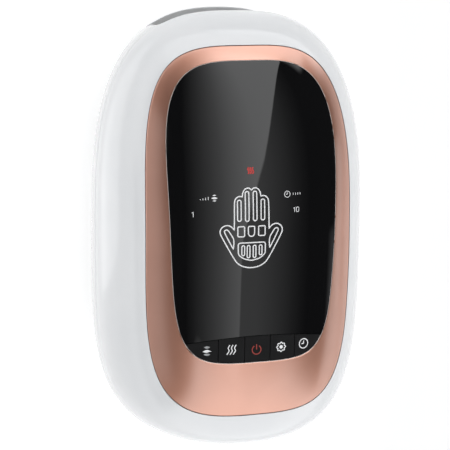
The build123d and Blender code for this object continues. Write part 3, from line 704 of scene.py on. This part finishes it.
def dense(points, closed):
    """The same line with points close together, so that it can follow a curved surface."""
    out = []
    pairs = list(zip(points, points[1:]))
    if closed:
        pairs.append((points[-1], points[0]))
    for (x0, y0), (x1, y1) in pairs:
        count = max(1, math.ceil(math.dist((x0, y0), (x1, y1)) / SIGN_STEP))
        out += [(x0 + (x1 - x0) * i / count, y0 + (y1 - y0) * i / count) for i in range(count)]
    if not closed:
        out.append(points[-1])
    return out


def eased(points, closed=True, rounds=3):
    """A line drawn smooth through its corners, except those marked with a third value."""
    marked = [(p[0], p[1], len(p) > 2) for p in points]
    for _ in range(rounds):
        count = len(marked)
        out = []
        for i, (x, y, sharp) in enumerate(marked):
            if sharp or (not closed and i in (0, count - 1)):
                out.append((x, y, True))
                continue
            for other in (marked[i - 1], marked[(i + 1) % count]):
                out.append((x + (other[0] - x) * EASE_SHARE, y + (other[1] - y) * EASE_SHARE, False))
        marked = out
    return [(x, y) for x, y, _ in marked]


def cut(points, radius, steps=5):
    """A polygon whose corners are rounded off by a radius."""
    out = []
    for i, corner in enumerate(points):
        here = Vector(corner)
        before = Vector(points[i - 1]) - here
        after = Vector(points[(i + 1) % len(points)]) - here
        start = here + before.normalized() * min(radius, before.length / 2)
        end = here + after.normalized() * min(radius, after.length / 2)
        for k in range(steps + 1):
            t = k / steps
            point = start * (1 - t) ** 2 + here * 2 * t * (1 - t) + end * t**2
            out.append((point.x, point.y))
    return out


def circle(x, y, radius, start=0.0, end=360.0, count=36):
    """A whole circle, or the arc from one angle to another."""
    turns = [math.radians(start + (end - start) * i / count) for i in range(count + 1)]
    points = [(x + radius * math.cos(a), y + radius * math.sin(a)) for a in turns]
    return points[:-1] if end - start == 360.0 else points


def pill(x, low, high, half_width):
    """A long slot with round ends."""
    top = circle(x, high - half_width, half_width, 0, 180, 12)
    return top + circle(x, low + half_width, half_width, 180, 360, 12)


def lens(x, y, half_width, half_height):
    """A flat shape that is pointed at both sides."""
    shares = [2 * i / LENS_STEPS - 1 for i in range(LENS_STEPS + 1)]
    arch = [(x + half_width * share, half_height * (1 - share**2)) for share in shares]
    return [(a, y + b) for a, b in arch] + [(a, y - b) for a, b in arch[-2:0:-1]]


def band(points, width, closed=True):
    """The two sides of a line of a width."""
    line = dense(points, closed)
    count = len(line)
    sides = []
    for i, (x, y) in enumerate(line):
        if closed:
            before, after = line[i - 1], line[(i + 1) % count]
        else:
            before, after = line[max(i - 1, 0)], line[min(i + 1, count - 1)]
        along = Vector((after[0] - before[0], after[1] - before[1])).normalized()
        across = Vector((-along.y, along.x)) * (width / 2)
        sides.append(((x + across.x, y + across.y), (x - across.x, y - across.y)))
    return sides, closed


def bands(lines, width):
    """Bands of one width, along lines that each say whether they are closed."""
    return [band(points, width, closed) for points, closed in lines]


def sign(name, strokes, fills, surface, material, body="housing"):
    """A thin printed sign, made of bands and filled shapes, laid on a surface."""
    points, faces = [], []

    def lay(place, lift):
        x, y = place[0] * MM, place[1] * MM
        points.append((x, y, surface.height(x, y) + lift * MM))
        return len(points) - 1

    for sides, closed in strokes:
        rings = []
        for left, right in sides:
            ring = [lay(left, SIGN_LIFT), lay(right, SIGN_LIFT)]
            ring += [lay(right, SIGN_LIFT - SIGN_THICK), lay(left, SIGN_LIFT - SIGN_THICK)]
            rings.append(ring)
        pairs = list(zip(rings, rings[1:]))
        if closed:
            pairs.append((rings[-1], rings[0]))
        else:
            faces.append(rings[0])
            faces.append(rings[-1][::-1])
        for near, far in pairs:
            for k in range(4):
                faces.append([near[k], far[k], far[(k + 1) % 4], near[(k + 1) % 4]])
    for outline in fills:
        line = dense(outline, True)
        top = [lay(place, SIGN_LIFT) for place in line]
        low = [lay(place, SIGN_LIFT - SIGN_THICK) for place in line]
        for a, b, c in tessellate_polygon([[Vector((x, y, 0)) for x, y in line]]):
            faces.append([top[a], top[b], top[c]])
            faces.append([low[c], low[b], low[a]])
        count = len(line)
        for k in range(count):
            faces.append([top[k], low[k], low[(k + 1) % count], top[(k + 1) % count]])
    obj = mesh_object(name, points, faces, material, smooth=False)
    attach(obj, body)


def key_sign(key, name, lines, fills, material):
    """A sign on a key, which moves with it."""
    sign(name, bands(lines, KEY_LINE), fills, Surface(key), material, key + "_body")


glass_top = Surface("display_glass")

# The hand: its outline, of which only the right half is listed, one slot in each finger, the
# fields and slots of the palm, and a leaf on each thumb. A third value marks a sharp corner.
HAND_X = -4.0
HAND_TOP, HAND_FOOT = (0.0, 26.1, 1), (0.0, -13.4)
HAND_HALF = [
    (0.7, 26.85), (1.6, 27.25), (2.9, 27.05), (3.9, 26.2), (4.6, 24.9), (4.8, 23.6), (4.85, 22.9, 1),
    (6.2, 23.25), (7.6, 22.8), (8.6, 21.7), (9.0, 20.2), (9.1, 8.2), (9.15, 6.3, 1), (9.9, 7.4),
    (11.3, 8.5), (13.1, 8.85), (14.9, 8.2), (16.1, 6.9), (16.4, 5.2), (15.9, 3.6), (8.6, -9.5),
    (6.6, -11.4), (3.9, -12.8),
]
FINGER_SLOTS = [(-10.5, 10.7, 21.3), (-6.4, 10.5, 25.5), (-2.25, 10.7, 25.5), (1.85, 10.9, 21.4)]
FINGER_SLOT_HALF = 0.95
PALM_FIELDS = [
    [(-11.3, 7.9), (-7.8, 7.9), (-7.8, 2.8), (-11.3, 2.8)],
    [(-5.85, 7.9), (-2.55, 7.9), (-2.55, 3.9), (-3.5, 2.8), (-4.9, 2.8), (-5.85, 3.9)],
    [(-0.45, 7.9), (3.05, 7.9), (3.0, 3.0), (-0.45, 3.0)],
]
PALM_CUP = [
    (-11.1, -0.4), (3.2, -0.4), (3.2, -6.3), (0.2, -8.6), (-4.0, -9.6), (-8.1, -8.6), (-11.0, -6.4),
]
FIELD_RADIUS, CUP_RADIUS = 0.7, 1.3
PALM_SLOTS = [(-8.45, -6.9, -1.8), (-5.65, -8.1, -1.8), (-2.5, -8.1, -1.8), (0.7, -6.9, -1.8)]
PALM_SLOT_HALF = 0.72
THUMB_LEAF = [
    (9.6, -3.4, 1), (9.3, -1.1), (9.35, 1.8), (10.8, 4.1), (12.0, 6.0), (13.0, 6.7), (14.1, 6.2),
    (14.2, 5.2),
]


def beside_hand(points, side=1):
    """Points measured from the hand's middle line, on its right or, with side -1, on its left."""
    return [(HAND_X + side * p[0], *p[1:]) for p in points]


left_half = [(-p[0], *p[1:]) for p in reversed(HAND_HALF)]
hand = [eased(beside_hand([HAND_TOP, *HAND_HALF, HAND_FOOT, *left_half]))]
hand += [pill(x, low, high, FINGER_SLOT_HALF) for x, low, high in FINGER_SLOTS]
hand += [cut(field, FIELD_RADIUS) for field in PALM_FIELDS]
hand.append(cut(PALM_CUP, CUP_RADIUS))
hand += [pill(x, low, high, PALM_SLOT_HALF) for x, low, high in PALM_SLOTS]
hand += [eased(beside_hand(THUMB_LEAF, side)) for side in (-1, 1)]
sign("hand_sign", [band(line, HAND_LINE) for line in hand], [], glass_top, SIGN_WHITE)

# The heat lamp is three short red waves side by side
HEAT_X, HEAT_PITCH = -5.2, 1.15
waves = []
for i in range(3):
    x = HEAT_X + HEAT_PITCH * i
    waves.append(([(x, 37.4), (x - 0.35, 36.5), (x + 0.25, 35.4), (x - 0.1, 34.1)], False))
sign("heat_sign", bands(waves, HEAT_LINE), [], glass_top, SIGN_RED)


def digits(text, x, y, height):
    """Plain numbers of ones and noughts, with points given as shares of their height."""
    one = [(0.1, 0.78), (0.36, 1.0), (0.36, 0.0)]
    nought = [(0.0, 0.5), (0.0, 1.0), (0.3, 1.0), (0.6, 1.0)]
    nought += [(0.6, 0.5), (0.6, 0.0), (0.3, 0.0), (0.0, 0.0)]
    pitch = 0.78 * height
    out = []
    for i, digit in enumerate(text):
        shape = one if digit == "1" else nought
        line = [(x + pitch * i + a * height, y + b * height) for a, b in shape]
        out.append((line, False) if digit == "1" else (eased(line, rounds=2), True))
    return out


def clock(x, y, radius):
    """A clock's face with two hands."""
    hands = [(x, y + radius * 0.62), (x, y), (x - radius * 0.5, y)]
    return [(circle(x, y, radius), True), (hands, False)]


def bars(x, low, high, growth=0.0):
    """Four upright bars in a row, each higher than the last by the growth."""
    tops = [(x + 1.3 * i, high + growth * i) for i in range(4)]
    return [([(left, low), (left, top)], False) for left, top in tops]


# Plain marks stand on the panel beside the numbers
small = digits("1", x=-34.3, y=13.2, height=2.5) + digits("10", x=18.4, y=13.9, height=2.3)
small += clock(x=15.2, y=23.1, radius=1.55)
small += bars(x=-29.9, low=21.7, high=22.2, growth=0.35) + bars(x=18.5, low=22.5, high=23.6)
AIR_X = -23.0
air = [lens(AIR_X, 22.6, 1.6, 0.55), lens(AIR_X, 24.0, 0.9, 0.3), lens(AIR_X, 21.3, 0.9, 0.3)]
sign("small_signs", bands(small, SMALL_LINE), air, glass_top, SIGN_WHITE)

# The massage key shows a wing between two leaves
MASSAGE_X = -26.2
wing = [(-28.5, -56.4, 1), (-27.4, -55.7), (MASSAGE_X, -55.3), (-25.0, -55.7), (-23.8, -56.4, 1)]
wing = eased(wing + [(-24.9, -56.2), (MASSAGE_X, -57.0), (-27.5, -56.7)], rounds=2)
key_sign("massage_key", "massage_key_sign", [], [wing], SIGN_WHITE)
leaves = [lens(MASSAGE_X, -54.1, 1.5, 0.6), lens(MASSAGE_X, -57.9, 1.65, 0.6)]
key_sign("massage_key", "massage_key_leaves", [], leaves, SIGN_GREY)

# The heat key shows three waves
KEY_WAVE_PITCH = 1.65
wave = [(-14.65, -53.2), (-15.7, -54.9), (-14.75, -56.3), (-16.2, -58.2)]
wave = eased(wave, closed=False, rounds=2)
heat = [([(x + KEY_WAVE_PITCH * i, y) for x, y in wave], False) for i in range(3)]
key_sign("heat_key", "heat_key_sign", heat, [], SIGN_WHITE)

# The power key shows an open circle with a bar
power = [(circle(-0.5, -56.5, 2.35, 122, 418), False), ([(-0.55, -53.6), (-0.5, -56.4)], False)]
key_sign("power_key", "power_key_sign", power, [], KEY_RED)

# The mode key shows a cog with eight soft teeth
COG_X, COG_Y = 12.95, -56.15
COG_RADIUS, COG_TOOTH, COG_HUB = 2.2, 0.3, 0.95
COG_TEETH, COG_POINTS = 8, 96
cog = []
for i in range(COG_POINTS):
    turn = 2 * math.pi * i / COG_POINTS
    radius = COG_RADIUS + COG_TOOTH * math.cos(COG_TEETH * turn)
    cog.append((COG_X + radius * math.cos(turn), COG_Y + radius * math.sin(turn)))
key_sign("mode_key", "mode_key_sign", [(cog, True)], [circle(COG_X, COG_Y, COG_HUB)], SIGN_WHITE)

key_sign("timer_key", "timer_key_sign", clock(x=25.9, y=-55.8, radius=2.5), [], SIGN_WHITE)

# The floor is white. Near the object it glows a little more, and on the object's right a little
# less, which the glossy case shows. Sizes are in metres.

FLOOR_HALF = 6.0
FLOOR_COLOR = (0.65, 0.65, 0.65, 1)
POOL_RADIUS, POOL_SOFT = 0.29, 0.05
POOL_GLOW, FAR_GLOW = 0.65, 0.5
DIM_FROM, DIM_SOFT, DIM_SHARE = 0.05, 0.07, 0.72


def stage_material():
    """A white floor that keeps the object's shadow, and glows for camera, gloss and glass alone."""
    material = bpy.data.materials.new("floor_white")
    material.use_nodes = True
    tree = material.node_tree
    tree.nodes.clear()
    out = tree.nodes.new("ShaderNodeOutputMaterial")
    diffuse = tree.nodes.new("ShaderNodeBsdfDiffuse")
    diffuse.inputs["Color"].default_value = FLOOR_COLOR
    place = tree.nodes.new("ShaderNodeTexCoord")
    away = tree.nodes.new("ShaderNodeVectorMath")
    away.operation = "LENGTH"
    tree.links.new(place.outputs["Object"], away.inputs[0])

    def smooth(source, edge, soft, low, high):
        return remap(tree, source, edge, edge + soft, low, high, kind="SMOOTHSTEP")

    pool = smooth(away.outputs["Value"], POOL_RADIUS, POOL_SOFT, POOL_GLOW, FAR_GLOW)
    dim = smooth(axes(tree)[0], DIM_FROM, DIM_SOFT, 1.0, DIM_SHARE)
    glow = tree.nodes.new("ShaderNodeEmission")
    glow.inputs["Color"].default_value = (1, 1, 1, 1)
    tree.links.new(arith(tree, "MULTIPLY", pool, dim), glow.inputs["Strength"])
    path = tree.nodes.new("ShaderNodeLightPath").outputs
    seen = arith(tree, "MAXIMUM", path["Is Camera Ray"], path["Is Glossy Ray"])
    seen = arith(tree, "MAXIMUM", seen, path["Is Transmission Ray"])
    none = tree.nodes.new("ShaderNodeEmission")
    none.inputs["Strength"].default_value = 0.0
    choose = tree.nodes.new("ShaderNodeMixShader")
    both = tree.nodes.new("ShaderNodeAddShader")
    tree.links.new(seen, choose.inputs["Fac"])
    tree.links.new(none.outputs["Emission"], choose.inputs[1])
    tree.links.new(glow.outputs["Emission"], choose.inputs[2])
    tree.links.new(diffuse.outputs["BSDF"], both.inputs[0])
    tree.links.new(choose.outputs["Shader"], both.inputs[1])
    tree.links.new(both.outputs["Shader"], out.inputs["Surface"])
    return material


corners = [(x * FLOOR_HALF, y * FLOOR_HALF, 0) for x, y in ((-1, -1), (1, -1), (1, 1), (-1, 1))]
floor = mesh_object("floor", corners, [[0, 1, 2, 3]], stage_material(), smooth=False)

# A light table lies flat on the floor at the left, out of the picture. The glossy case shows
# it as a long bright band. Its size and place are in metres and its energy in watts.
TABLE_SIZE = (0.2, 0.3)
TABLE_PLACE = (-0.205, 0.1, 0.002)
TABLE_ENERGY = 0.12
table_light = bpy.data.lights.new("light_table", "AREA")
table_light.shape = "RECTANGLE"
table_light.size, table_light.size_y = TABLE_SIZE
table_light.energy = TABLE_ENERGY
light_table = link(bpy.data.objects.new("light_table", table_light))
light_table.matrix_world = Matrix.Translation(TABLE_PLACE) @ Matrix.Rotation(math.pi, 4, "X")

# The world is a photographer's studio. Across and along are how far a place on the ceiling
# lies to the right and towards the fingertips, as shares of the ceiling's height.

WORLD_COLOR = (0.985, 0.993, 1.0, 1)
WORLD_BASE = 0.03
LEAST_FLAT, LEAST_RISE = 0.0001, 0.02
STRIP_EDGE_SOFT = 0.008
STRIP_FADE = (0.3, 0.45)
STRIP_NEAR, STRIP_NEAR_SHARE = (-0.6, -0.3), 0.6
SIDE_EDGE_SOFT = 0.03


class Studio:
    """Soft panels of light round and over the object, of which the brightest one counts."""

    def __init__(self):
        world = bpy.data.worlds.new("studio")
        bpy.context.scene.world = world
        world.use_nodes = True
        self.tree = world.node_tree
        self.x, self.y, self.z = axes(self.tree, "Generated")
        flat = self.calc("ADD", self.product(self.x, self.x), self.product(self.y, self.y))
        self.flat = self.calc("MAXIMUM", self.calc("SQRT", flat), LEAST_FLAT)
        self.rise = self.calc("MAXIMUM", self.z, LEAST_RISE)

    def calc(self, operation, *values):
        return arith(self.tree, operation, *values)

    def product(self, first, *others):
        for other in others:
            first = self.calc("MULTIPLY", first, other)
        return first

    def step(self, value, low, high):
        """0 below low, 1 above high, and smooth between them."""
        return remap(self.tree, value, low, high, kind="SMOOTHSTEP")

    def toward(self, azimuth, half_angle, soft):
        """1 within half the angle of an azimuth, and 0 away from it."""
        turn = math.radians(azimuth)
        across, along = self.product(self.x, math.cos(turn)), self.product(self.y, math.sin(turn))
        facing = self.calc("DIVIDE", self.calc("ADD", across, along), self.flat)
        outer, inner = (math.cos(math.radians(half_angle + side * soft)) for side in (1, -1))
        return self.step(facing, outer, inner)

    def panel(self, azimuth, half_angle, low, high, level, soft=8.0):
        """A soft panel between two elevations, on one side of the object."""
        wide = self.toward(azimuth, half_angle, soft)
        sines = [math.sin(math.radians(e)) for e in (low - soft, low + soft, high - soft, high + soft)]
        up = self.step(self.z, sines[0], sines[1])
        down = self.calc("SUBTRACT", 1.0, self.step(self.z, sines[2], sines[3]))
        return self.product(up, down, wide, level)

    def horizon(self, high, level):
        """An even glow low down, all the way round."""
        low, top = math.sin(math.radians(0.5 * high)), math.sin(math.radians(1.5 * high))
        return self.product(self.calc("SUBTRACT", 1.0, self.step(self.z, low, top)), level)

    def side(self, azimuth, half_angle, edge, level, soft):
        """A tall panel on one side that ends along a slanted line, given as a place and a slope."""
        slant = self.calc("ADD", self.product(self.x, edge[1]), self.y)
        depth = self.calc("DIVIDE", slant, self.rise)
        past = self.step(depth, -edge[0] - SIDE_EDGE_SOFT, -edge[0] + SIDE_EDGE_SOFT)
        below = self.calc("SUBTRACT", 1.0, past)
        return self.product(below, self.toward(azimuth, half_angle, soft), level)

    def ramp(self, across, stops):
        """A brightness that follows the stops, given as places and values."""
        first, last = stops[0][0], stops[-1][0]
        place = self.calc("DIVIDE", self.calc("SUBTRACT", across, first), last - first)
        node = self.tree.nodes.new("ShaderNodeValToRGB")
        elements = node.color_ramp.elements
        while len(elements) < len(stops):
            elements.new(0.5)
        for element, (position, _) in zip(elements, stops):
            element.position = (position - first) / (last - first)
        for element, (_, value) in zip(elements, stops):
            element.color = (value, value, value, 1)
        self.tree.links.new(place, node.inputs["Fac"])
        return node.outputs["Color"]

    def strip(self, edge, left, right, level):
        """A long overhead panel that grows brighter up to a crisp edge, given as a curve."""
        across, along = (self.calc("DIVIDE", axis, self.rise) for axis in (self.x, self.y))
        curve = self.calc("ADD", self.product(along, edge[2]), edge[1])
        curve = self.calc("ADD", self.product(curve, along), edge[0])
        past = self.step(self.calc("SUBTRACT", across, curve), -STRIP_EDGE_SOFT, STRIP_EDGE_SOFT)
        dim, bright = self.ramp(across, right), self.ramp(across, left)
        shown = self.calc("ADD", bright, self.product(self.calc("SUBTRACT", dim, bright), past))
        near = self.product(self.step(along, *STRIP_NEAR), 1 - STRIP_NEAR_SHARE)
        near = self.calc("ADD", near, STRIP_NEAR_SHARE)
        return self.product(shown, self.step(self.z, *STRIP_FADE), near, level)

    def light(self, levels):
        total = WORLD_BASE
        for level in levels:
            total = self.calc("MAXIMUM", level, total)
        background = self.tree.nodes["Background"]
        background.inputs["Color"].default_value = WORLD_COLOR
        self.tree.links.new(total, background.inputs["Strength"])


# The strip's edge runs across at a place that is a curve of along. Left of it the strip has the
# bright values, and right of it the dim ones. Each stop is a place across and a brightness.
STRIP_EDGE = (0.2955, 0.34, 0.1)
STRIP_BRIGHT = [
    (-0.6, 0.0), (-0.45, 0.01), (-0.33, 0.0625), (-0.2, 0.154), (-0.08, 0.267), (0.03, 0.404),
    (0.12, 0.558), (0.21, 0.708), (0.3, 0.846), (0.37, 0.946), (0.47, 0.99), (0.7, 1.0),
]
STRIP_DIM = [
    (0.0, 0.34), (0.2, 0.325), (0.33, 0.31), (0.4, 0.25), (0.48, 0.196), (0.6, 0.133), (0.72, 0.079),
    (0.88, 0.038), (1.1, 0.008), (1.3, 0.0),
]
SIDE_EDGE = (0.33, 0.06)

# Azimuth 0 is to the object's right and 90 is past its fingertips. Angles are in degrees.
studio = Studio()
studio.light(
    [
        studio.strip(STRIP_EDGE, STRIP_BRIGHT, STRIP_DIM, level=2.4),
        studio.panel(azimuth=80, half_angle=37, low=2, high=23, level=1.8, soft=2.5),
        studio.panel(azimuth=56, half_angle=26, low=-9, high=9, level=2.5),
        studio.panel(azimuth=140, half_angle=34, low=0, high=22, level=1.35),
        studio.side(azimuth=-80, half_angle=52, edge=SIDE_EDGE, level=1.5, soft=6.0),
        studio.panel(azimuth=-28, half_angle=14, low=0, high=20, level=1.1, soft=5.0),
        studio.panel(azimuth=-5, half_angle=12, low=5, high=14, level=1.2, soft=4.0),
        studio.panel(azimuth=180, half_angle=50, low=-4, high=12, level=1.15, soft=6.0),
        studio.panel(azimuth=130, half_angle=60, low=-6, high=9, level=0.9, soft=6.0),
        studio.panel(azimuth=180, half_angle=34, low=14, high=46, level=0.62),
        studio.horizon(high=8, level=0.6),
    ]
)

# The camera stands where the photograph's did, and looks at the middle of the parting's level.
# The photograph's frame and the place in it that the camera points at are in pixels.
YAW, PITCH, ROLL = math.radians(17.868), math.radians(-11.569), math.radians(0.7053)
DISTANCE = 0.87348
LENS, SENSOR = 130.85, 36.0
FRAME_SIZE = 450
AIM_X, AIM_Y = 226.527, 220.409
CLIP_START, CLIP_END = 0.05, 50.0
back = Vector((-math.sin(YAW) * math.cos(PITCH), -math.sin(PITCH), math.cos(YAW) * math.cos(PITCH)))
right = Vector((0, 1, 0)).cross(back).normalized()
up = back.cross(right)
right, up = (
    right * math.cos(ROLL) + up * math.sin(ROLL),
    up * math.cos(ROLL) - right * math.sin(ROLL),
)
camera_data = bpy.data.cameras.new("camera")
camera_data.sensor_width = SENSOR
camera_data.lens = LENS
camera_data.shift_x = (FRAME_SIZE / 2 - AIM_X) / FRAME_SIZE
camera_data.shift_y = (AIM_Y - FRAME_SIZE / 2) / FRAME_SIZE
camera_data.clip_start, camera_data.clip_end = CLIP_START, CLIP_END
camera = link(bpy.data.objects.new("camera", camera_data))
stand = Matrix.Translation(back * DISTANCE + Vector((0, 0, PARTING * MM)))
camera.matrix_world = stand @ Matrix((right, up, back)).transposed().to_4x4()
bpy.context.scene.camera = camera
bpy.context.scene.view_settings.view_transform = "Standard"
